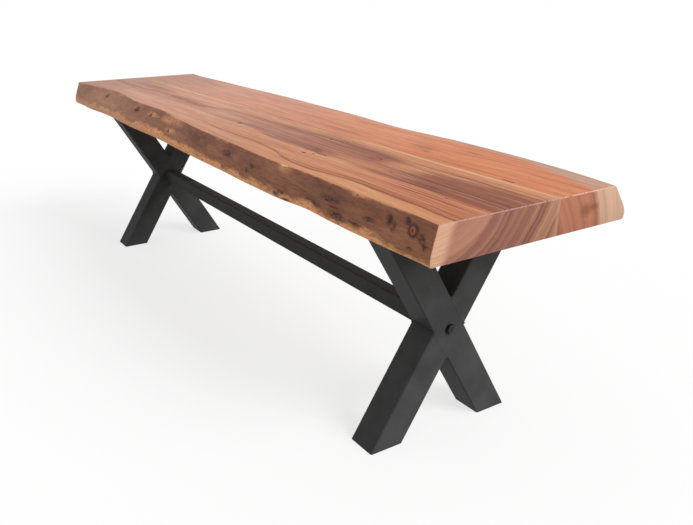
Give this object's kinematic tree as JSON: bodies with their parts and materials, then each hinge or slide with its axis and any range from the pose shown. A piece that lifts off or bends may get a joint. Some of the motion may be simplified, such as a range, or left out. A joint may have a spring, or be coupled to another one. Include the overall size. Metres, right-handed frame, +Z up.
{
  "type": "bench",
  "caption": "Live-edge wooden bench: a thick slab seat with wavy bark edges on two crossed-leg steel frames joined by a low stretcher.",
  "frame": {"origin": "on the floor, under the middle of the bench", "axes": "+X along the length towards the right-hand frame, -Y towards the front live edge, +Z up"},
  "size_m": [1.5494, 0.4014, 0.4572],
  "materials": {
    "acacia": "satin-sealed acacia heartwood with pale sapwood and bark-side live edges",
    "powder_coat": "fine-textured black powder coat on steel",
    "zinc": "zinc-plated steel",
    "black_bolt": "black hex bolt, satin",
    "cap_plastic": "moulded black plastic"
  },
  "bodies": {
    "root": {"slab_front_plank": "acacia", "slab_back_plank": "acacia", "stretcher_tube": "powder_coat", "right_long_leg": "powder_coat", "right_upper_half_leg": "powder_coat", "right_lower_half_leg": "powder_coat", "right_mounting_plate": "powder_coat", "right_plate_screws": "zinc", "right_long_leg_cap": "cap_plastic", "right_half_leg_cap": "cap_plastic", "right_bolt_sleeve": "zinc", "right_crossing_bolt": "black_bolt", "right_stretcher_plate": "powder_coat", "right_weld_nut": "zinc", "left_long_leg": "powder_coat", "left_upper_half_leg": "powder_coat", "left_lower_half_leg": "powder_coat", "left_mounting_plate": "powder_coat", "left_plate_screws": "zinc", "left_long_leg_cap": "cap_plastic", "left_half_leg_cap": "cap_plastic", "left_bolt_sleeve": "zinc", "left_crossing_bolt": "black_bolt", "left_stretcher_plate": "powder_coat", "left_weld_nut": "zinc"}
  },
  "joints": []
}
